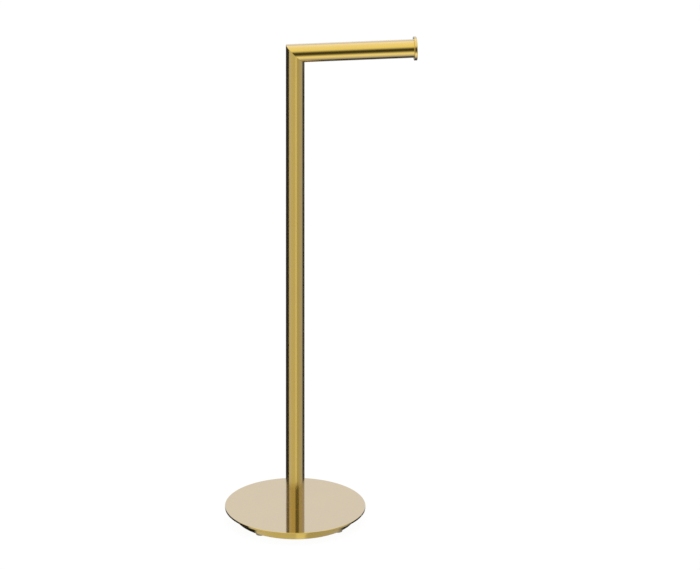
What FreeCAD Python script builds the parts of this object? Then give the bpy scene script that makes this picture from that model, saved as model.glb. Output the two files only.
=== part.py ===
import FreeCAD, Part
import os

# Free-standing toilet paper holder: a round weighted base, one upright tube, and an arm
# mitred to its top that the roll slides onto, closed by a wider disc.
#
# Frame, in millimetres: the origin is on the floor, under the upright's axis. +Z is up and
# the arm points along +X. The stack below runs from the floor upwards.

# ---- driving dimensions ----
ARM_TOP_HEIGHT = 696.0  # floor to the top of the arm tube
ARM_REACH = 165.0  # upright's axis to the outer face of the end disc

TUBE_DIAMETER = 25.4  # one inch
TUBE_WALL = 1.5

PLATE_DIAMETER = 190.0
PLATE_THICKNESS = 3.0
PLATE_EDGE_ROUND = 0.6

WEIGHT_DIAMETER = 162.0
WEIGHT_THICKNESS = 12.0
WEIGHT_EDGE_ROUND = 0.6

BOND_PAD_DIAMETER = 150.0
BOND_PAD_THICKNESS = 0.3

GASKET_THICKNESS = 0.4  # it fills the gap under the plug in the upright

FOOT_DIAMETER = 12.0
FOOT_HEIGHT = 2.5
FOOT_EDGE_ROUND = 0.7
FOOT_STEM_DIAMETER = 5.0
FOOT_STEM_LENGTH = 5.0
FOOT_CIRCLE_RADIUS = 74.5
FOOT_COUNT = 4
FIRST_FOOT_ANGLE = 45.0

END_DISC_DIAMETER = 33.0
END_DISC_THICKNESS = 4.0
END_DISC_EDGE_ROUND = 0.6
SPIGOT_LENGTH = 6.0

POST_INSERT_LENGTH = 25.0
ARM_INSERT_LENGTH = 14.0
INSERT_CHAMFER = 0.8

BOLT_DIAMETER = 8.0  # M8 button-head screw
BOLT_LENGTH = 25.0
BOLT_HEAD_DIAMETER = 14.0
BOLT_HEAD_HEIGHT = 4.4
BOLT_CLEARANCE_DIAMETER = 9.0
BOLT_HEAD_POCKET_DIAMETER = 20.0
BOLT_HEAD_POCKET_DEPTH = 8.5
BOLT_KEY_SIZE = 5.0
BOLT_KEY_DEPTH = 2.6

FLAT_WASHER_DIAMETER = 16.0
FLAT_WASHER_THICKNESS = 1.6
SPRING_WASHER_DIAMETER = 14.8
SPRING_WASHER_THICKNESS = 2.0
SPRING_WASHER_GAP = 1.5
WASHER_BORE_DIAMETER = 8.4

PIN_DIAMETER = 4.0
PIN_LENGTH = 11.0
PIN_RADIUS_FROM_AXIS = 7.5
PIN_DEPTH_IN_INSERT = 5.0

STUD_DIAMETER = 6.0  # M6 grub screw
STUD_LENGTH = 20.0
STUD_DEPTH_IN_DISC = 7.0
STUD_KEY_SIZE = 3.0
STUD_KEY_DEPTH = 3.0

WELD_BEAD_WIDTH = 2.4
WELD_BEAD_HEIGHT = 1.2

# ---- places worked out from them ----
TUBE_RADIUS = TUBE_DIAMETER / 2
BORE_RADIUS = TUBE_RADIUS - TUBE_WALL

WEIGHT_BOTTOM = FOOT_HEIGHT
WEIGHT_TOP = WEIGHT_BOTTOM + WEIGHT_THICKNESS
PLATE_BOTTOM = WEIGHT_TOP + BOND_PAD_THICKNESS
PLATE_TOP = PLATE_BOTTOM + PLATE_THICKNESS
INSERT_BOTTOM = PLATE_TOP + GASKET_THICKNESS
ARM_HEIGHT = ARM_TOP_HEIGHT - TUBE_RADIUS

POCKET_TOP = WEIGHT_BOTTOM + BOLT_HEAD_POCKET_DEPTH
FLAT_WASHER_BOTTOM = POCKET_TOP - FLAT_WASHER_THICKNESS
SPRING_WASHER_BOTTOM = FLAT_WASHER_BOTTOM - SPRING_WASHER_THICKNESS
BOLT_HEAD_BOTTOM = SPRING_WASHER_BOTTOM - BOLT_HEAD_HEIGHT
PIN_TOP = INSERT_BOTTOM + PIN_DEPTH_IN_INSERT
PIN_BOTTOM = PIN_TOP - PIN_LENGTH

ARM_TUBE_END = ARM_REACH - END_DISC_THICKNESS
SPIGOT_END = ARM_TUBE_END - SPIGOT_LENGTH
ARM_INSERT_END = SPIGOT_END - ARM_INSERT_LENGTH
STUD_OUTER_END = SPIGOT_END + STUD_DEPTH_IN_DISC
STUD_INNER_END = STUD_OUTER_END - STUD_LENGTH

UP = FreeCAD.Vector(0, 0, 1)
ALONG_ARM = FreeCAD.Vector(1, 0, 0)
ELBOW = FreeCAD.Vector(0, 0, ARM_HEIGHT)


# ---- shared shapes ----
def upright_rod(diameter, bottom, top, x=0.0, y=0.0):
    """A solid round bar standing on (x, y)."""
    return Part.makeCylinder(diameter / 2, top - bottom, FreeCAD.Vector(x, y, bottom), UP)


def arm_rod(diameter, start, end):
    """A solid round bar on the arm's axis, from one X to another."""
    foot = FreeCAD.Vector(start, 0, ARM_HEIGHT)
    return Part.makeCylinder(diameter / 2, end - start, foot, ALONG_ARM)


def rim_edges(shape, diameter, along, place):
    """The circular edges of this diameter whose centre is at this place along a direction."""
    found = []
    for edge in shape.Edges:
        curve = edge.Curve
        if not isinstance(curve, Part.Circle):
            continue
        same_size = abs(2 * curve.Radius - diameter) < 1e-6
        same_place = abs(curve.Center.dot(along) - place) < 1e-6
        if same_size and same_place:
            found.append(edge)
    return found


def mitre_side(turn):
    """A block on one side of the mitre plane: 45 is the arm's side and 225 the upright's."""
    reach = 2 * ARM_TOP_HEIGHT
    block = Part.makeBox(reach, reach, reach, FreeCAD.Vector(-reach / 2, -reach / 2, 0))
    block.rotate(FreeCAD.Vector(0, 0, 0), FreeCAD.Vector(0, 1, 0), turn)
    block.translate(ELBOW)
    return block


def hex_socket(size, depth, base, direction):
    """A hexagonal key socket, as a solid to cut away, from its mouth inwards."""
    corner_radius = size / 3**0.5
    across = FreeCAD.Vector(0, 1, 0)
    corners = []
    for step in range(7):
        turn = FreeCAD.Rotation(direction, 60.0 * step)
        corners.append(base + turn.multVec(across) * corner_radius)
    outline = Part.Face(Part.makePolygon(corners))
    return outline.extrude(direction * depth)


# ---- base ----
def base_plate():
    plate = upright_rod(PLATE_DIAMETER, PLATE_BOTTOM, PLATE_TOP)
    rims = rim_edges(plate, PLATE_DIAMETER, UP, PLATE_TOP)
    rims += rim_edges(plate, PLATE_DIAMETER, UP, PLATE_BOTTOM)
    plate = plate.makeFillet(PLATE_EDGE_ROUND, rims)
    plate = plate.cut(upright_rod(BOLT_CLEARANCE_DIAMETER, PLATE_BOTTOM, PLATE_TOP))
    return plate.cut(locating_pin())


def bond_pad():
    """Double-sided foam sheet that holds the plate to the weight."""
    pad = upright_rod(BOND_PAD_DIAMETER, WEIGHT_TOP, PLATE_BOTTOM)
    hole = upright_rod(BOLT_HEAD_POCKET_DIAMETER, WEIGHT_TOP, PLATE_BOTTOM)
    return pad.cut(hole)


def base_weight():
    """Steel slab with a pocket for the screw head and four blind holes for the feet."""
    weight = upright_rod(WEIGHT_DIAMETER, WEIGHT_BOTTOM, WEIGHT_TOP)
    rims = rim_edges(weight, WEIGHT_DIAMETER, UP, WEIGHT_TOP)
    rims += rim_edges(weight, WEIGHT_DIAMETER, UP, WEIGHT_BOTTOM)
    weight = weight.makeFillet(WEIGHT_EDGE_ROUND, rims)
    weight = weight.cut(upright_rod(BOLT_CLEARANCE_DIAMETER, WEIGHT_BOTTOM, WEIGHT_TOP))
    weight = weight.cut(upright_rod(BOLT_HEAD_POCKET_DIAMETER, WEIGHT_BOTTOM, POCKET_TOP))
    weight = weight.cut(locating_pin())
    for x, y in foot_places():
        stem_top = WEIGHT_BOTTOM + FOOT_STEM_LENGTH
        weight = weight.cut(upright_rod(FOOT_STEM_DIAMETER, WEIGHT_BOTTOM, stem_top, x, y))
    return weight


def foot_places():
    """Centres of the feet, evenly spaced on a circle."""
    places = []
    for step in range(FOOT_COUNT):
        angle = FIRST_FOOT_ANGLE + 360.0 * step / FOOT_COUNT
        place = FreeCAD.Rotation(UP, angle).multVec(ALONG_ARM) * FOOT_CIRCLE_RADIUS
        places.append((place.x, place.y))
    return places


def foot(x, y):
    """Silicone foot with a stem pushed up into the weight."""
    pad = upright_rod(FOOT_DIAMETER, 0.0, FOOT_HEIGHT, x, y)
    pad = pad.makeFillet(FOOT_EDGE_ROUND, rim_edges(pad, FOOT_DIAMETER, UP, 0.0))
    stem_top = FOOT_HEIGHT + FOOT_STEM_LENGTH
    stem = upright_rod(FOOT_STEM_DIAMETER, FOOT_HEIGHT, stem_top, x, y)
    return pad.fuse(stem).removeSplitter()


# ---- what fastens the upright to the base ----
def base_bolt():
    """Button-head socket screw, put in from below."""
    shank_bottom = BOLT_HEAD_BOTTOM + BOLT_HEAD_HEIGHT
    head = upright_rod(BOLT_HEAD_DIAMETER, BOLT_HEAD_BOTTOM, shank_bottom)
    crown = rim_edges(head, BOLT_HEAD_DIAMETER, UP, BOLT_HEAD_BOTTOM)
    head = head.makeFillet(0.7 * BOLT_HEAD_HEIGHT, crown)
    shank = upright_rod(BOLT_DIAMETER, shank_bottom, shank_bottom + BOLT_LENGTH)
    mouth = FreeCAD.Vector(0, 0, BOLT_HEAD_BOTTOM)
    socket = hex_socket(BOLT_KEY_SIZE, BOLT_KEY_DEPTH, mouth, UP)
    return head.fuse(shank).removeSplitter().cut(socket)


def spring_washer():
    """Split ring under the screw head."""
    ring = upright_rod(SPRING_WASHER_DIAMETER, SPRING_WASHER_BOTTOM, FLAT_WASHER_BOTTOM)
    ring = ring.cut(upright_rod(WASHER_BORE_DIAMETER, SPRING_WASHER_BOTTOM, FLAT_WASHER_BOTTOM))
    corner = FreeCAD.Vector(0, -SPRING_WASHER_GAP / 2, SPRING_WASHER_BOTTOM)
    gap = Part.makeBox(
        SPRING_WASHER_DIAMETER, SPRING_WASHER_GAP, SPRING_WASHER_THICKNESS, corner
    )
    return ring.cut(gap)


def flat_washer():
    ring = upright_rod(FLAT_WASHER_DIAMETER, FLAT_WASHER_BOTTOM, POCKET_TOP)
    return ring.cut(upright_rod(WASHER_BORE_DIAMETER, FLAT_WASHER_BOTTOM, POCKET_TOP))


def locating_pin():
    """Dowel beside the screw that stops the upright from turning on the base."""
    return upright_rod(PIN_DIAMETER, PIN_BOTTOM, PIN_TOP, -PIN_RADIUS_FROM_AXIS, 0.0)


def post_gasket():
    """Thin ring inside the tube, pressed between the plug and the plate."""
    ring = upright_rod(2 * BORE_RADIUS, PLATE_TOP, INSERT_BOTTOM)
    ring = ring.cut(upright_rod(BOLT_CLEARANCE_DIAMETER, PLATE_TOP, INSERT_BOTTOM))
    return ring.cut(locating_pin())


def post_insert():
    """Tapped plug pressed and welded into the upright's lower end."""
    top = INSERT_BOTTOM + POST_INSERT_LENGTH
    plug = upright_rod(2 * BORE_RADIUS, INSERT_BOTTOM, top)
    plug = plug.makeChamfer(INSERT_CHAMFER, rim_edges(plug, 2 * BORE_RADIUS, UP, top))
    plug = plug.cut(upright_rod(BOLT_DIAMETER, INSERT_BOTTOM, top))
    return plug.cut(locating_pin())


# ---- tubes ----
def post_tube():
    """Upright tube, cut at 45 degrees at the top."""
    top = ARM_TOP_HEIGHT + TUBE_DIAMETER
    tube = upright_rod(TUBE_DIAMETER, PLATE_TOP, top)
    tube = tube.cut(upright_rod(2 * BORE_RADIUS, PLATE_TOP, top))
    return tube.common(mitre_side(225.0))


def arm_tube():
    """Level tube, cut at 45 degrees where it meets the upright."""
    start = -TUBE_DIAMETER
    tube = arm_rod(TUBE_DIAMETER, start, ARM_TUBE_END)
    tube = tube.cut(arm_rod(2 * BORE_RADIUS, start, ARM_TUBE_END))
    return tube.common(mitre_side(45.0))


def elbow_weld():
    """Root bead of the mitre's weld, inside both tubes."""
    outer = 2 * BORE_RADIUS
    inner = outer - 2 * WELD_BEAD_HEIGHT
    reach = 2 * TUBE_DIAMETER
    low = ARM_HEIGHT - reach
    high = ARM_HEIGHT + reach
    in_post = upright_rod(outer, low, high).cut(upright_rod(inner, low, high))
    in_arm = arm_rod(outer, -reach, reach).cut(arm_rod(inner, -reach, reach))
    bead = in_post.common(mitre_side(225.0)).fuse(in_arm.common(mitre_side(45.0)))
    corner = FreeCAD.Vector(-reach, -reach, -WELD_BEAD_WIDTH / 2)
    slab = Part.makeBox(2 * reach, 2 * reach, WELD_BEAD_WIDTH, corner)
    slab.rotate(FreeCAD.Vector(0, 0, 0), FreeCAD.Vector(0, 1, 0), 45.0)
    slab.translate(ELBOW)
    return bead.common(slab)


# ---- arm end ----
def end_disc():
    """Disc that stops the roll, with a spigot inside the tube and a blind tapped hole."""
    disc = arm_rod(END_DISC_DIAMETER, ARM_TUBE_END, ARM_REACH)
    rims = rim_edges(disc, END_DISC_DIAMETER, ALONG_ARM, ARM_REACH)
    rims += rim_edges(disc, END_DISC_DIAMETER, ALONG_ARM, ARM_TUBE_END)
    disc = disc.makeFillet(END_DISC_EDGE_ROUND, rims)
    disc = disc.fuse(arm_rod(2 * BORE_RADIUS, SPIGOT_END, ARM_TUBE_END)).removeSplitter()
    return disc.cut(arm_rod(STUD_DIAMETER, SPIGOT_END, STUD_OUTER_END))


def arm_insert():
    """Tapped plug pressed into the arm, which the stud pulls the disc against."""
    plug = arm_rod(2 * BORE_RADIUS, ARM_INSERT_END, SPIGOT_END)
    rim = rim_edges(plug, 2 * BORE_RADIUS, ALONG_ARM, ARM_INSERT_END)
    plug = plug.makeChamfer(INSERT_CHAMFER, rim)
    return plug.cut(arm_rod(STUD_DIAMETER, ARM_INSERT_END, SPIGOT_END))


def disc_stud():
    """Grub screw that joins the disc to the insert."""
    stud = arm_rod(STUD_DIAMETER, STUD_INNER_END, STUD_OUTER_END)
    mouth = FreeCAD.Vector(STUD_INNER_END, 0, ARM_HEIGHT)
    return stud.cut(hex_socket(STUD_KEY_SIZE, STUD_KEY_DEPTH, mouth, ALONG_ARM))


# ---- write one file per piece ----
def pieces():
    """Every piece by its name."""
    made = {
        "base_plate": base_plate(),
        "bond_pad": bond_pad(),
        "base_weight": base_weight(),
        "base_bolt": base_bolt(),
        "spring_washer": spring_washer(),
        "flat_washer": flat_washer(),
        "locating_pin": locating_pin(),
        "post_gasket": post_gasket(),
        "post_insert": post_insert(),
        "post_tube": post_tube(),
        "arm_tube": arm_tube(),
        "elbow_weld": elbow_weld(),
        "end_disc": end_disc(),
        "arm_insert": arm_insert(),
        "disc_stud": disc_stud(),
    }
    for number, (x, y) in enumerate(foot_places(), start=1):
        made[f"foot_{number}"] = foot(x, y)
    return made


os.makedirs("parts", exist_ok=True)
for name, shape in pieces().items():
    if not shape.isValid() or len(shape.Solids) != 1:
        raise RuntimeError(f"{name} is not one valid solid")
    shape.Solids[0].exportStep(os.path.join("parts", f"{name}.step"))
    print(f"{name}: {shape.Volume / 1000:.2f} cm3")
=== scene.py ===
import math

import bmesh
import bpy
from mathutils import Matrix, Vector


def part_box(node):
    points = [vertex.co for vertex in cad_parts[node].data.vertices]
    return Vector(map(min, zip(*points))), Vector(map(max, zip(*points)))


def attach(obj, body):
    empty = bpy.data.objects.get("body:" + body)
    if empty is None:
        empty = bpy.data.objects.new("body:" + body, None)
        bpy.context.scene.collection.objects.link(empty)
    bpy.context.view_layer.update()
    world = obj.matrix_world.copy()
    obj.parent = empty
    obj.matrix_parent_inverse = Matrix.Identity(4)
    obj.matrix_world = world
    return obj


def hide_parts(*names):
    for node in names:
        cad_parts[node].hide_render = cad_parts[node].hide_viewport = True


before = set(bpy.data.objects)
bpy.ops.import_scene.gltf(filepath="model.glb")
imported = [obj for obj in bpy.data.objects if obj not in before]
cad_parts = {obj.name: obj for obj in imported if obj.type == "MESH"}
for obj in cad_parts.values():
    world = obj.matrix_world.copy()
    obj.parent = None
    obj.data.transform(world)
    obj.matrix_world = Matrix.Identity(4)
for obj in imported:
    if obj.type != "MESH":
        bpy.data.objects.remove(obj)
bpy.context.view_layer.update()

MM = 0.001

# ---- camera ----
CAMERA_AZIMUTH = math.radians(-5.8)
CAMERA_ELEVATION = math.radians(23.25)
CAMERA_DISTANCE = 4.0
FRAME_WIDTH = 0.9466  # what the image's width covers
AIM_RIGHT = 0.0741  # where the image's middle is, from the upright's axis
AIM_HEIGHT = 0.3422

TOWARDS_CAMERA = Vector((math.sin(CAMERA_AZIMUTH), -math.cos(CAMERA_AZIMUTH), 0.0))
CAMERA_RIGHT = Vector((math.cos(CAMERA_AZIMUTH), math.sin(CAMERA_AZIMUTH), 0.0))

# ---- sizes that the boxes of the CAD nodes don't give ----
TUBE_WALL = 1.5 * MM
TUBE_BEVEL = 0.12 * MM
TUBE_RUN = 40.0 * MM  # longest face along a tube
EDGE_ROUND = 0.6 * MM
FOOT_ROUND = 0.7 * MM
SEAT_ROUND = 0.3 * MM
DISC_THICKNESS = 4.0 * MM
STUD_RADIUS = 3.0 * MM
STUD_DEPTH_IN_DISC = 7.0 * MM
BOLT_RADIUS = 4.0 * MM
BOLT_CLEARANCE_RADIUS = 4.5 * MM
BOLT_HEAD_HEIGHT = 4.4 * MM
BOLT_HEAD_DOME = 3.1 * MM
BOLT_THREAD_PITCH = 1.25 * MM
BOLT_KEY_SIZE = 5.0 * MM
BOLT_KEY_DEPTH = 2.6 * MM
BOLT_TIP_CHAMFER = 0.7  # of a pitch
THREAD_DEPTH = 0.54  # of a pitch
THREAD_FLANK = 1.15  # how soon a flank reaches the root; past 1 it leaves a flat there
THREAD_RUN_IN = 1.5  # pitches of plain shank before the thread
THREAD_RINGS = 8  # rings of points along one pitch
POCKET_RADIUS = 10.0 * MM
FOOT_STEM_RADIUS = 2.5 * MM
WASHER_BORE_RADIUS = 4.2 * MM
WASHER_BEVEL = 0.25 * MM
SPLIT_WIDTH = 1.5 * MM
SPLIT_SLANT = 0.6 * MM

# ---- how finely the shapes are cut up ----
FINE_STEPS = 240
SMALL_STEPS = 72
ARC_STEPS = 7
EDGE_SUPPORT = 0.04 * MM
SHARP_ANGLE = math.radians(32.0)

X_AXIS = Vector((1.0, 0.0, 0.0))
Y_AXIS = Vector((0.0, 1.0, 0.0))
Z_AXIS = Vector((0.0, 0.0, 1.0))


# ---- node helpers ----
def socket(sockets, identifier):
    return next(one for one in sockets if one.identifier == identifier)


class Graph:
    """A short way to add shader nodes and join them."""

    def __init__(self, tree):
        self.tree = tree
        self.tree.nodes.clear()

    def add(self, kind, inputs=None, **settings):
        node = self.tree.nodes.new(kind)
        for name, value in settings.items():
            setattr(node, name, value)
        for name, value in (inputs or {}).items():
            self.put(node.inputs[name], value)
        return node

    def put(self, target, value):
        if isinstance(value, bpy.types.NodeSocket):
            self.tree.links.new(value, target)
        else:
            target.default_value = value

    def math(self, operation, first, second=0.0, third=0.0):
        node = self.add("ShaderNodeMath", {0: first, 1: second, 2: third}, operation=operation)
        return node.outputs[0]

    def product(self, *values):
        total = values[0]
        for value in values[1:]:
            total = self.math("MULTIPLY", total, value)
        return total

    def total(self, *values):
        total = values[0]
        for value in values[1:]:
            total = self.math("ADD", total, value)
        return total

    def vary(self, value, texture, by):
        """The value, raised by up to this much where the texture is 1."""
        return self.math("MULTIPLY_ADD", texture, by, value)

    def dot(self, first, second):
        inputs = {0: first, 1: second}
        return self.add("ShaderNodeVectorMath", inputs, operation="DOT_PRODUCT").outputs["Value"]

    def step(self, value, low, high, start=0.0, end=1.0):
        """A smooth step from start, where value is low, to end, where it is high."""
        inputs = {"Value": value, "From Min": low, "From Max": high, "To Min": start, "To Max": end}
        node = self.add("ShaderNodeMapRange", inputs, interpolation_type="SMOOTHSTEP")
        return node.outputs["Result"]

    def window(self, value, low, high, soft):
        """1 between low and high, and 0 outside, with edges that are soft each way."""
        opens = self.step(value, low - soft, low + soft)
        shuts = self.step(value, high - soft, high + soft, 1.0, 0.0)
        return self.product(opens, shuts)

    def mix(self, factor, first, second):
        node = self.add("ShaderNodeMix", data_type="RGBA")
        self.put(socket(node.inputs, "Factor_Float"), factor)
        self.put(socket(node.inputs, "A_Color"), first)
        self.put(socket(node.inputs, "B_Color"), second)
        return socket(node.outputs, "Result_Color")

    def noise(self, vector, scale, detail=2.0, roughness=0.5):
        inputs = {"Vector": vector, "Scale": scale, "Detail": detail, "Roughness": roughness}
        return self.add("ShaderNodeTexNoise", inputs).outputs["Fac"]

    def stretch(self, vector, scale):
        node = self.add("ShaderNodeMapping", {"Vector": vector, "Scale": scale})
        return node.outputs["Vector"]

    def bump(self, height, strength, distance):
        inputs = {"Height": height, "Strength": strength, "Distance": distance}
        return self.add("ShaderNodeBump", inputs).outputs["Normal"]


def new_material(name):
    material = bpy.data.materials.new(name)
    material.use_nodes = True
    graph = Graph(material.node_tree)
    place = graph.add("ShaderNodeTexCoord").outputs["Object"]
    shader = graph.add("ShaderNodeBsdfPrincipled")
    output = graph.add("ShaderNodeOutputMaterial")
    graph.put(output.inputs["Surface"], shader.outputs["BSDF"])
    return material, graph, place, shader


# ---- materials ----
GOLD = (0.90, 0.640, 0.140, 1.0)
GOLD_SMUDGED = (0.885, 0.622, 0.134, 1.0)
GOLD_GLANCING = (0.90, 0.89, 0.96, 1.0)
GLANCING_POWER = 1.4
SILICONE_DARK = (0.36, 0.32, 0.24, 1.0)
SILICONE_LIGHT = (0.46, 0.42, 0.33, 1.0)
ZINC_DARK = (0.55, 0.56, 0.58, 1.0)
ZINC_LIGHT = (0.68, 0.68, 0.67, 1.0)
STEEL_DARK = (0.36, 0.35, 0.34, 1.0)
STEEL_LIGHT = (0.47, 0.46, 0.45, 1.0)
FOAM_DARK = (0.04, 0.04, 0.04, 1.0)
FOAM_LIGHT = (0.08, 0.08, 0.08, 1.0)
NYLON_DARK = (0.66, 0.65, 0.60, 1.0)
NYLON_LIGHT = (0.74, 0.73, 0.68, 1.0)
CLOUD_BAND = (0.3, 0.7)  # where the clouds of a noise go from dark to light
SMUDGE_BAND = (0.35, 0.75)


def polished_gold(name, lines_scale, rough):
    """Polished gold plating, which mirrors paler the more glancing the light.

    Faint polishing lines run one way, and faint smudges lie over them.
    """
    material, graph, place, shader = new_material(name)
    lines = graph.noise(graph.stretch(place, lines_scale), scale=1.0)
    smudges = graph.noise(place, scale=18.0, detail=3.0, roughness=0.55)
    haze = graph.step(smudges, *SMUDGE_BAND)
    facing = graph.add("ShaderNodeLayerWeight", {"Blend": 0.5}).outputs["Facing"]
    glancing = graph.math("POWER", facing, GLANCING_POWER)
    head_on = graph.mix(haze, GOLD, GOLD_SMUDGED)
    graph.put(shader.inputs["Base Color"], graph.mix(glancing, head_on, GOLD_GLANCING))
    graph.put(shader.inputs["Metallic"], 1.0)
    fine = graph.vary(rough, lines, by=0.02)
    graph.put(shader.inputs["Roughness"], graph.vary(fine, haze, by=0.012))
    graph.put(shader.inputs["Normal"], graph.bump(lines, strength=0.012, distance=0.1 * MM))
    return material


def silicone():
    """Milky rubber, a little cloudy and finely pitted."""
    material, graph, place, shader = new_material("pale_silicone")
    cloud = graph.noise(place, scale=260.0, detail=3.0, roughness=0.6)
    pits = graph.noise(place, scale=2600.0, roughness=0.6)
    tone = graph.mix(graph.step(cloud, *CLOUD_BAND), SILICONE_DARK, SILICONE_LIGHT)
    graph.put(shader.inputs["Base Color"], tone)
    graph.put(shader.inputs["Roughness"], graph.vary(0.35, cloud, by=0.2))
    graph.put(shader.inputs["Normal"], graph.bump(pits, strength=0.2, distance=0.1 * MM))
    return material


def steel(name, dark, light, rough):
    """Bare or plated steel with a cloudy tone and fine tooling."""
    material, graph, place, shader = new_material(name)
    cloud = graph.noise(place, scale=420.0, detail=3.0, roughness=0.6)
    fine = graph.noise(place, scale=4200.0)
    tone = graph.mix(graph.step(cloud, *CLOUD_BAND), dark, light)
    graph.put(shader.inputs["Base Color"], tone)
    graph.put(shader.inputs["Metallic"], 1.0)
    graph.put(shader.inputs["Roughness"], graph.vary(rough, cloud, by=0.16))
    graph.put(shader.inputs["Normal"], graph.bump(fine, strength=0.15, distance=0.1 * MM))
    return material


def plastic(name, dark, light, rough, grain_scale):
    """Moulded or foamed plastic, whose grain shows in its tone and surface."""
    material, graph, place, shader = new_material(name)
    grain = graph.noise(place, scale=grain_scale, detail=3.0, roughness=0.6)
    graph.put(shader.inputs["Base Color"], graph.mix(grain, dark, light))
    graph.put(shader.inputs["Roughness"], graph.vary(rough, grain, by=0.15))
    graph.put(shader.inputs["Normal"], graph.bump(grain, strength=0.3, distance=0.2 * MM))
    return material


gold_upright = polished_gold("gold_upright", lines_scale=(1800.0, 1800.0, 30.0), rough=0.17)
gold_level = polished_gold("gold_level", lines_scale=(30.0, 1800.0, 1800.0), rough=0.12)
gold_plate = polished_gold("gold_plate", lines_scale=(60.0, 60.0, 60.0), rough=0.04)
gold_satin = polished_gold("gold_satin", lines_scale=(900.0, 900.0, 900.0), rough=0.10)
pale_silicone = silicone()
zinc_steel = steel("zinc_steel", ZINC_DARK, ZINC_LIGHT, rough=0.22)
plain_steel = steel("plain_steel", STEEL_DARK, STEEL_LIGHT, rough=0.3)
foam = plastic("foam_tape", FOAM_DARK, FOAM_LIGHT, rough=0.75, grain_scale=2500.0)
nylon = plastic("clear_nylon", NYLON_DARK, NYLON_LIGHT, rough=0.3, grain_scale=900.0)

KEPT_NODES = {
    "disc_stud": zinc_steel,
    "locating_pin": plain_steel,
    "post_insert": plain_steel,
    "arm_insert": plain_steel,
    "elbow_weld": plain_steel,
    "post_gasket": nylon,
    "bond_pad": foam,
}
for node_name, material in KEPT_NODES.items():
    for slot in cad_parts[node_name].material_slots:
        slot.material = material


# ---- shapes ----
class Solid:
    """A closed mesh made of rings of points joined by faces."""

    def __init__(self, steps):
        self.steps = steps
        self.mesh = bmesh.new()

    def ring(self, place):
        """A ring of points: place gives the point at an angle."""
        turns = [2.0 * math.pi * step / self.steps for step in range(self.steps)]
        return [self.mesh.verts.new(place(turn)) for turn in turns]

    def join(self, one, other):
        """Faces between two rings, or between a ring and a single point."""
        if len(one) < len(other):
            one, other = other, one
        for step in range(len(one)):
            corners = [one[step - 1], one[step]]
            if len(other) == 1:
                corners.append(other[0])
            else:
                corners += [other[step], other[step - 1]]
            self.mesh.faces.new(corners)

    def fill(self, rings, normal):
        """A flat face inside the first ring and outside the others."""
        edges = []
        for ring in rings:
            for step in range(len(ring)):
                edge = self.mesh.edges.get((ring[step - 1], ring[step]))
                edges.append(edge or self.mesh.edges.new((ring[step - 1], ring[step])))
        bmesh.ops.triangle_fill(self.mesh, use_beauty=True, edges=edges, normal=normal)

    def piece(self, name, material, node):
        """Makes the finished object, which stands for a CAD node."""
        bmesh.ops.recalc_face_normals(self.mesh, faces=self.mesh.faces)
        for face in self.mesh.faces:
            face.smooth = True
        for edge in self.mesh.edges:
            edge.smooth = edge.calc_face_angle(math.pi) < SHARP_ANGLE
        data = bpy.data.meshes.new(name)
        self.mesh.to_mesh(data)
        self.mesh.free()
        data.materials.append(material)
        made = bpy.data.objects.new(name, data)
        bpy.context.scene.collection.objects.link(made)
        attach(made, "root")
        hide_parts(node)


def rounded(corners):
    """An outline's points, with each corner (along, out, radius) rounded to that radius."""
    points = []
    for index, (along, out, radius) in enumerate(corners):
        here = Vector((along, out))
        if radius == 0.0:
            points.append(here)
            continue
        before = (Vector(corners[index - 1][:2]) - here).normalized()
        after = (Vector(corners[(index + 1) % len(corners)][:2]) - here).normalized()
        half = before.angle(after) / 2.0
        centre = here + (before + after).normalized() * radius / math.sin(half)
        start = here + before * radius / math.tan(half)
        end = here + after * radius / math.tan(half)
        sweep = math.pi - 2.0 * half
        points.append(start + before * EDGE_SUPPORT)
        for step in range(ARC_STEPS + 1):
            share = step / ARC_STEPS
            first = (start - centre) * math.sin((1.0 - share) * sweep)
            second = (end - centre) * math.sin(share * sweep)
            points.append(centre + (first + second) / math.sin(sweep))
        points.append(end + after * EDGE_SUPPORT)
    return points


def circle(centre, radius, along=Z_AXIS):
    """The point at an angle on a circle round an axis."""
    first, second = (Y_AXIS, Z_AXIS) if along == X_AXIS else (X_AXIS, Y_AXIS)
    return lambda turn: centre + (first * math.cos(turn) + second * math.sin(turn)) * radius


def turn_outline(solid, outline, centre=Vector(), along=Z_AXIS, closed=True):
    """Spins an outline of points (place along the axis, radius), and gives its rings."""
    rings = []
    for place, radius in outline:
        middle = centre + along * place
        if radius == 0.0:
            rings.append([solid.mesh.verts.new(middle)])
        else:
            rings.append(solid.ring(circle(middle, radius, along)))
    pairs = list(zip(rings, rings[1:]))
    if closed:
        pairs.append((rings[-1], rings[0]))
    for one, other in pairs:
        if len(one) + len(other) > 2:
            solid.join(one, other)
    return rings


def box_sizes(node):
    """A CAD node's lowest and highest corner, its middle and half its width along Y."""
    low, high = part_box(node)
    return low, high, (low + high) / 2.0, (high.y - low.y) / 2.0


# ---- the base ----
PIN_LOW, _, PIN_MIDDLE, PIN_RADIUS = box_sizes("locating_pin")
PIN_AXIS = Vector((PIN_MIDDLE.x, PIN_MIDDLE.y, 0.0))
PLATE_LOW, PLATE_HIGH, _, PLATE_RADIUS = box_sizes("base_plate")
WEIGHT_LOW, WEIGHT_HIGH, _, WEIGHT_RADIUS = box_sizes("base_weight")
WASHER_LOW, WASHER_HIGH, _, WASHER_RADIUS = box_sizes("flat_washer")
SPRING_LOW, SPRING_HIGH, _, SPRING_RADIUS = box_sizes("spring_washer")
BOLT_LOW, BOLT_HIGH, _, BOLT_HEAD_RADIUS = box_sizes("base_bolt")
FEET = ["foot_1", "foot_2", "foot_3", "foot_4"]


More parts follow.
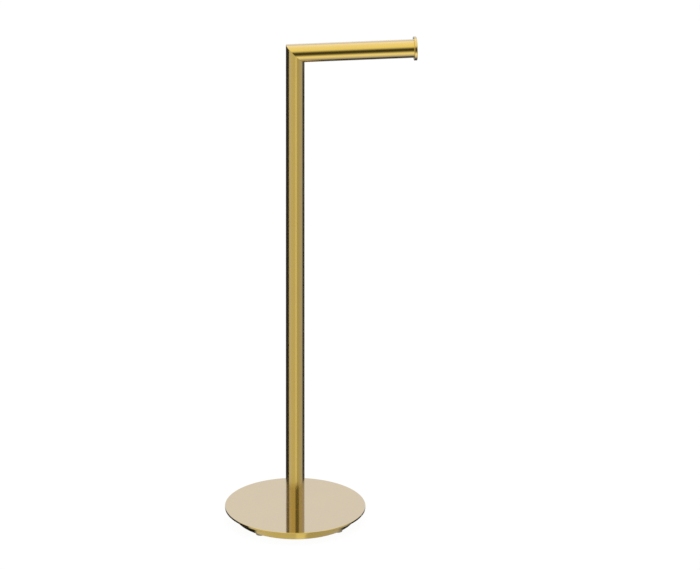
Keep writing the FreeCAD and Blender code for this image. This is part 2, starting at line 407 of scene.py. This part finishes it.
def base_plate():
    """Disc with a rounded edge, and holes for the screw and the pin."""
    solid = Solid(FINE_STEPS)
    bottom, top = PLATE_LOW.z, PLATE_HIGH.z
    outline = rounded([
        (top, BOLT_CLEARANCE_RADIUS, 0.0),
        (top, PLATE_RADIUS, EDGE_ROUND),
        (bottom, PLATE_RADIUS, EDGE_ROUND),
        (bottom, BOLT_CLEARANCE_RADIUS, 0.0),
    ])
    bore_top, bore_bottom = outline[0], outline[-1]
    rings = turn_outline(solid, outline[1:-1], closed=False)
    bore = turn_outline(solid, [bore_top, bore_bottom], closed=False)
    pin_hole = turn_outline(solid, [(top, PIN_RADIUS), (bottom, PIN_RADIUS)], PIN_AXIS, closed=False)
    solid.fill([rings[0], bore[0], pin_hole[0]], Z_AXIS)
    solid.fill([rings[-1], bore[1], pin_hole[1]], -Z_AXIS)
    solid.piece("plate", gold_plate, "base_plate")


def base_weight():
    """Thick disc with a pocket for the screw's head, and blind holes for the pin and the feet."""
    solid = Solid(FINE_STEPS)
    bottom, top = WEIGHT_LOW.z, WEIGHT_HIGH.z
    pocket_top = WASHER_HIGH.z
    outline = rounded([
        (top, BOLT_CLEARANCE_RADIUS, 0.0),
        (top, WEIGHT_RADIUS, EDGE_ROUND),
        (bottom, WEIGHT_RADIUS, EDGE_ROUND),
        (bottom, POCKET_RADIUS, 0.0),
    ])
    rings = turn_outline(solid, outline[1:-1], closed=False)
    pocket = [
        (bottom, POCKET_RADIUS + SEAT_ROUND),
        (bottom + SEAT_ROUND, POCKET_RADIUS),
        (pocket_top, POCKET_RADIUS),
        (pocket_top, BOLT_CLEARANCE_RADIUS),
        (top, BOLT_CLEARANCE_RADIUS),
    ]
    inside = turn_outline(solid, pocket, closed=False)
    pin_outline = [(top, PIN_RADIUS), (PIN_LOW.z, PIN_RADIUS), (PIN_LOW.z, 0.0)]
    pin_hole = turn_outline(solid, pin_outline, PIN_AXIS, closed=False)
    foot_holes = []
    for node in FEET:
        _, high, middle, _ = box_sizes(node)
        axis = Vector((middle.x, middle.y, 0.0))
        stem = [(bottom, FOOT_STEM_RADIUS), (high.z, FOOT_STEM_RADIUS), (high.z, 0.0)]
        foot_holes.append(turn_outline(solid, stem, axis, closed=False)[0])
    solid.fill([rings[0], inside[-1], pin_hole[0]], Z_AXIS)
    solid.fill([rings[-1], inside[0], *foot_holes], -Z_AXIS)
    solid.piece("weight", gold_satin, "base_weight")


def foot(node):
    """A pad with a rounded tread and a stem that is pushed up into the weight."""
    solid = Solid(SMALL_STEPS)
    low, high, middle, radius = box_sizes(node)
    shoulder = WEIGHT_LOW.z
    outline = rounded([
        (low.z, 0.0, 0.0),
        (low.z, radius, FOOT_ROUND),
        (shoulder, radius, SEAT_ROUND),
        (shoulder, FOOT_STEM_RADIUS, 0.0),
        (high.z, FOOT_STEM_RADIUS, SEAT_ROUND),
        (high.z, 0.0, 0.0),
    ])
    turn_outline(solid, outline, Vector((middle.x, middle.y, 0.0)))
    solid.piece("silicone_" + node, pale_silicone, node)


# ---- the screw and its washers ----
def thread_radius(crest, pitch, place, turn):
    """Radius of a screw thread at a place along it and an angle round it."""
    phase = (place / pitch - turn / (2.0 * math.pi)) % 1.0
    return crest - THREAD_DEPTH * pitch * min(1.0, abs(2.0 * phase - 1.0) * THREAD_FLANK)


def base_bolt():
    """Button-head screw: a domed head with a hexagonal socket, and a threaded shank."""
    solid = Solid(SMALL_STEPS)
    neck = BOLT_LOW.z + BOLT_HEAD_HEIGHT
    pitch = BOLT_THREAD_PITCH
    crest = BOLT_RADIUS
    rings = []

    def round_ring(place, radius):
        rings.append(solid.ring(circle(Z_AXIS * place, radius)))

    def hex_ring(place):
        half_side = math.pi / 6.0

        def point(turn):
            from_flat = (turn + half_side) % (2.0 * half_side) - half_side
            return circle(Z_AXIS * place, BOLT_KEY_SIZE / 2.0 / math.cos(from_flat))(turn)
        rings.append(solid.ring(point))

    def thread_ring(place):
        def point(turn):
            return circle(Z_AXIS * place, thread_radius(crest, pitch, place, turn))(turn)
        rings.append(solid.ring(point))

    socket_end = BOLT_LOW.z + BOLT_KEY_DEPTH
    rings.append([solid.mesh.verts.new(Z_AXIS * (socket_end + SEAT_ROUND))])
    hex_ring(socket_end)
    hex_ring(BOLT_LOW.z)
    for place, radius in rounded([
        (BOLT_LOW.z, 0.0, 0.0),
        (BOLT_LOW.z, BOLT_HEAD_RADIUS, BOLT_HEAD_DOME),
        (neck, BOLT_HEAD_RADIUS, SEAT_ROUND),
        (neck, 0.0, 0.0),
    ])[1:-1]:
        round_ring(place, radius)
    round_ring(neck, crest)
    round_ring(neck + pitch, crest)
    thread_start = neck + THREAD_RUN_IN * pitch
    thread_end = BOLT_HIGH.z - pitch
    thread_rings = round((thread_end - thread_start) / pitch * THREAD_RINGS)
    for step in range(thread_rings + 1):
        thread_ring(thread_start + (thread_end - thread_start) * step / thread_rings)
    round_ring(thread_end + pitch / 2.0, crest - THREAD_DEPTH * pitch)
    round_ring(BOLT_HIGH.z, crest - BOLT_TIP_CHAMFER * pitch)
    rings.append([solid.mesh.verts.new(Z_AXIS * BOLT_HIGH.z)])
    for one, other in zip(rings, rings[1:]):
        solid.join(one, other)
    solid.piece("button_head_screw", zinc_steel, "base_bolt")


def flat_washer():
    """Plain washer with one rim bevelled, as stamping leaves it."""
    solid = Solid(SMALL_STEPS)
    bottom, top = WASHER_LOW.z, WASHER_HIGH.z
    outline = [
        (bottom, WASHER_BORE_RADIUS),
        (bottom, WASHER_RADIUS - WASHER_BEVEL),
        (bottom + WASHER_BEVEL, WASHER_RADIUS),
        (top, WASHER_RADIUS),
        (top, WASHER_BORE_RADIUS),
    ]
    turn_outline(solid, outline)
    solid.piece("plain_washer", zinc_steel, "flat_washer")


def spring_washer():
    """Split ring, closed up flat, with a slanted slot."""
    solid = Solid(SMALL_STEPS)
    bottom, top = SPRING_LOW.z, SPRING_HIGH.z
    half_gap = SPLIT_WIDTH / 2.0
    section = rounded([
        (bottom, WASHER_BORE_RADIUS, SEAT_ROUND / 2.0),
        (bottom, SPRING_RADIUS, SEAT_ROUND),
        (top, SPRING_RADIUS, SEAT_ROUND),
        (top, WASHER_BORE_RADIUS, SEAT_ROUND / 2.0),
    ])
    sections = []
    for step in range(SMALL_STEPS + 1):
        points = []
        for place, radius in section:
            lean = SPLIT_SLANT * ((place - bottom) / (top - bottom) - 0.5)
            start = (half_gap + lean) / radius
            end = 2.0 * math.pi - (half_gap - lean) / radius
            turn = start + (end - start) * step / SMALL_STEPS
            points.append(solid.mesh.verts.new(circle(Z_AXIS * place, radius)(turn)))
        sections.append(points)
    for one, other in zip(sections, sections[1:]):
        solid.join(one, other)
    solid.mesh.faces.new(sections[0])
    solid.mesh.faces.new(sections[-1])
    solid.piece("split_washer", zinc_steel, "spring_washer")


# ---- the tubes and the end disc ----
POST_LOW, _, _, TUBE_RADIUS = box_sizes("post_tube")
_, ARM_HIGH, ARM_MIDDLE, _ = box_sizes("arm_tube")
DISC_LOW, DISC_HIGH, _, DISC_RADIUS = box_sizes("end_disc")
ARM_HEIGHT = ARM_MIDDLE.z
BORE_RADIUS = TUBE_RADIUS - TUBE_WALL


def mitred_tube(name, material, node, place, length):
    """A tube cut at 45 degrees.

    place turns (distance from the elbow, distance towards the inside of the bend, Y) into a
    point, and the mitre is where the first two are equal.
    """
    solid = Solid(FINE_STEPS)
    face_radius = TUBE_RADIUS - TUBE_BEVEL
    square_end = length - TUBE_BEVEL
    rings = []

    def add_ring(radius, distance):
        def point(turn):
            inwards = radius * math.cos(turn)
            return place(distance(inwards), inwards, radius * math.sin(turn))
        rings.append(solid.ring(point))

    runs = math.ceil(length / TUBE_RUN)
    for run in range(runs + 1):
        share = run / runs
        add_ring(TUBE_RADIUS, lambda q, s=share: (q + TUBE_BEVEL) * (1.0 - s) + square_end * s)
    for radius in (face_radius, BORE_RADIUS):
        add_ring(radius, lambda q: length)
    for radius in (BORE_RADIUS, face_radius):
        add_ring(radius, lambda q: q)
    for one, other in zip(rings, rings[1:] + rings[:1]):
        solid.join(one, other)
    solid.piece(name, material, node)


def end_disc():
    """Disc with rounded rims, a spigot inside the tube and a blind tapped hole."""
    solid = Solid(FINE_STEPS)
    spigot_end, outer = DISC_LOW.x, DISC_HIGH.x
    inner = outer - DISC_THICKNESS
    hole_end = spigot_end + STUD_DEPTH_IN_DISC
    outline = rounded([
        (outer, 0.0, 0.0),
        (outer, DISC_RADIUS, EDGE_ROUND),
        (inner, DISC_RADIUS, EDGE_ROUND),
        (inner, BORE_RADIUS, 0.0),
        (spigot_end, BORE_RADIUS, SEAT_ROUND),
        (spigot_end, STUD_RADIUS, 0.0),
        (hole_end, STUD_RADIUS, 0.0),
        (hole_end, 0.0, 0.0),
    ])
    turn_outline(solid, outline, Vector((0.0, 0.0, ARM_HEIGHT)), X_AXIS)
    solid.piece("roll_stop_disc", gold_level, "end_disc")


base_plate()
base_weight()
for foot_node in FEET:
    foot(foot_node)
base_bolt()
flat_washer()
spring_washer()
mitred_tube(
    "upright_tube",
    gold_upright,
    "post_tube",
    lambda t, q, y: Vector((q, y, ARM_HEIGHT - t)),
    ARM_HEIGHT - POST_LOW.z,
)
mitred_tube(
    "roll_tube",
    gold_level,
    "arm_tube",
    lambda t, q, y: Vector((t, y, ARM_HEIGHT - q)),
    ARM_HIGH.x,
)
end_disc()


# ---- studio ----
# What the metal mirrors, by direction, in degrees: turn goes round from the camera's side, to its
# right, and rise goes up from the horizon. An edge is (from, to), or (from, to, level before,
# level after) where it isn't a fade from 0 to 1. A window is (from, to, softness).
WHITE = (1.0, 1.0, 1.0, 1.0)

# the ceiling starts higher in front of the object than behind it
CEILING_REAR_EDGE = (140.0, 166.0)
CEILING_FRONT_FADE = (18.0, 52.0)
CEILING_FRONT_LEVEL = (45.0, 80.0, 0.90, 0.95)
CEILING_BEHIND_FADE = (-2.0, 18.0)
CEILING_BEHIND_LEVEL = (36.0, 58.0, 0.685, 1.0)

# the pale floor in front fades towards the horizon and towards the object's foot
GROUND_LEFT_EDGE = (-86.0, -78.0)
GROUND_RIGHT_EDGE = (88.0, 110.0, 1.0, 0.0)
GROUND_LEVEL = (18.0, 26.0, 0.69, 0.53)
GROUND_HORIZON_FADE = (-34.0, 4.0, 1.0, 0.0)
GROUND_FOOT_FADE = (-90.0, -55.0, 0.25, 1.0)

# a glow on the ground behind the object
BEHIND_EDGE = (156.0, 170.0)
BEHIND_RISE = (-60.0, 0.0, 12.0)
BEHIND_LEVEL = 0.35

# a low band of light at both sides and behind
SKYLINE_RISE = (-14.0, 17.0, 3.0)
SKYLINE_SIDES = [(-104.0, -44.0, 8.0), (42.0, 104.0, 8.0)]
SKYLINE_REAR_EDGE = (146.0, 158.0)
SKYLINE_LEVEL = 0.45

HAZE_RISE = (-14.0, 34.0, 8.0)
HAZE_LEVEL = 0.035
ALL_ROUND_LEVEL = 0.012

FLOOR_SIZE = 40.0
FLOOR_TONE = (0.08, 0.08, 0.08, 1.0)
FLOOR_GLOW = 0.955

# (level, turn window, rise window) of each lamp
LAMPS = [
    (0.27, (2.0, 18.5, 3.0), (-48.0, -20.0, 12.0)),  # glow on the ground in front
    (0.34, (-79.0, 3.0, 5.0), (-8.0, 40.0, 8.0)),  # soft box, left
    (0.26, (47.0, 150.0, 6.0), (-8.0, 40.0, 8.0)),  # soft box, right
    (0.02, (-175.0, -112.0, 8.0), (-60.0, 40.0, 10.0)),  # spill, left and behind
    (0.58, (-135.0, -126.5, 2.0), (14.0, 46.0, 6.0)),  # strip, left and behind
    (0.34, (138.0, 144.0, 2.0), (-38.0, -12.0, 4.0)),  # strip, right and behind
]


def studio_world():
    """A white backdrop for the camera, and the studio that the metal mirrors around it."""
    world = bpy.data.worlds.new("studio")
    bpy.context.scene.world = world
    world.use_nodes = True
    graph = Graph(world.node_tree)
    direction = graph.add("ShaderNodeTexCoord").outputs["Generated"]
    sideways = graph.dot(direction, CAMERA_RIGHT)
    forwards = graph.dot(direction, TOWARDS_CAMERA)
    turn = graph.math("DEGREES", graph.math("ARCTAN2", sideways, forwards))
    rise = graph.math("DEGREES", graph.math("ARCSINE", graph.dot(direction, Z_AXIS)))
    aside = graph.math("ABSOLUTE", turn)

    in_front = graph.product(
        graph.step(rise, *CEILING_FRONT_FADE), graph.step(rise, *CEILING_FRONT_LEVEL)
    )
    behind = graph.product(
        graph.step(rise, *CEILING_BEHIND_FADE), graph.step(rise, *CEILING_BEHIND_LEVEL)
    )
    rear = graph.step(aside, *CEILING_REAR_EDGE)
    ceiling = graph.vary(in_front, rear, by=graph.math("SUBTRACT", behind, in_front))

    ground = graph.product(
        graph.step(turn, *GROUND_LEFT_EDGE),
        graph.step(turn, *GROUND_RIGHT_EDGE),
        graph.step(turn, *GROUND_LEVEL),
        graph.step(rise, *GROUND_HORIZON_FADE),
        graph.step(rise, *GROUND_FOOT_FADE),
    )
    glow = graph.product(
        graph.step(aside, *BEHIND_EDGE), graph.window(rise, *BEHIND_RISE), BEHIND_LEVEL
    )
    sides = [graph.window(turn, *side) for side in SKYLINE_SIDES]
    round_about = graph.total(*sides, graph.step(aside, *SKYLINE_REAR_EDGE))
    skyline = graph.product(round_about, graph.window(rise, *SKYLINE_RISE), SKYLINE_LEVEL)
    haze = graph.product(graph.window(rise, *HAZE_RISE), HAZE_LEVEL)
    lamps = [
        graph.product(graph.window(turn, *turns), graph.window(rise, *rises), level)
        for level, turns, rises in LAMPS
    ]
    lights = graph.total(ceiling, ground, glow, skyline, haze, *lamps, ALL_ROUND_LEVEL)

    seen = graph.add("ShaderNodeLightPath").outputs["Is Camera Ray"]
    backdrop = graph.add("ShaderNodeBackground", {"Color": WHITE, "Strength": 1.0})
    mirrored = graph.add("ShaderNodeBackground", {"Color": WHITE, "Strength": lights})
    both = graph.add("ShaderNodeMixShader", {"Fac": seen})
    graph.put(both.inputs[1], mirrored.outputs[0])
    graph.put(both.inputs[2], backdrop.outputs[0])
    output = graph.add("ShaderNodeOutputWorld")
    graph.put(output.inputs["Surface"], both.outputs[0])


def pale_floor():
    """A floor as white as the backdrop, which the metal doesn't mirror."""
    bpy.ops.mesh.primitive_plane_add(size=FLOOR_SIZE)
    floor = bpy.context.object
    floor.name = "floor"
    floor.visible_glossy = False
    material, graph, _, shader = new_material("pale_floor")
    graph.put(shader.inputs["Base Color"], FLOOR_TONE)
    graph.put(shader.inputs["Roughness"], 1.0)
    graph.put(shader.inputs["Specular IOR Level"], 0.0)
    graph.put(shader.inputs["Emission Color"], WHITE)
    graph.put(shader.inputs["Emission Strength"], FLOOR_GLOW)
    floor.data.materials.append(material)


def camera():
    """A view with no perspective: everything is the same size, near or far."""
    data = bpy.data.cameras.new("camera")
    data.type = "ORTHO"
    data.ortho_scale = FRAME_WIDTH
    shot = bpy.data.objects.new("camera", data)
    bpy.context.scene.collection.objects.link(shot)
    back = TOWARDS_CAMERA * math.cos(CAMERA_ELEVATION) + Z_AXIS * math.sin(CAMERA_ELEVATION)
    aim = CAMERA_RIGHT * AIM_RIGHT + Z_AXIS * AIM_HEIGHT
    shot.location = aim + back * CAMERA_DISTANCE
    shot.rotation_mode = "QUATERNION"
    shot.rotation_quaternion = (-back).to_track_quat("-Z", "Y")
    bpy.context.scene.camera = shot


camera()
studio_world()
pale_floor()
bpy.context.scene.view_settings.view_transform = "Standard"
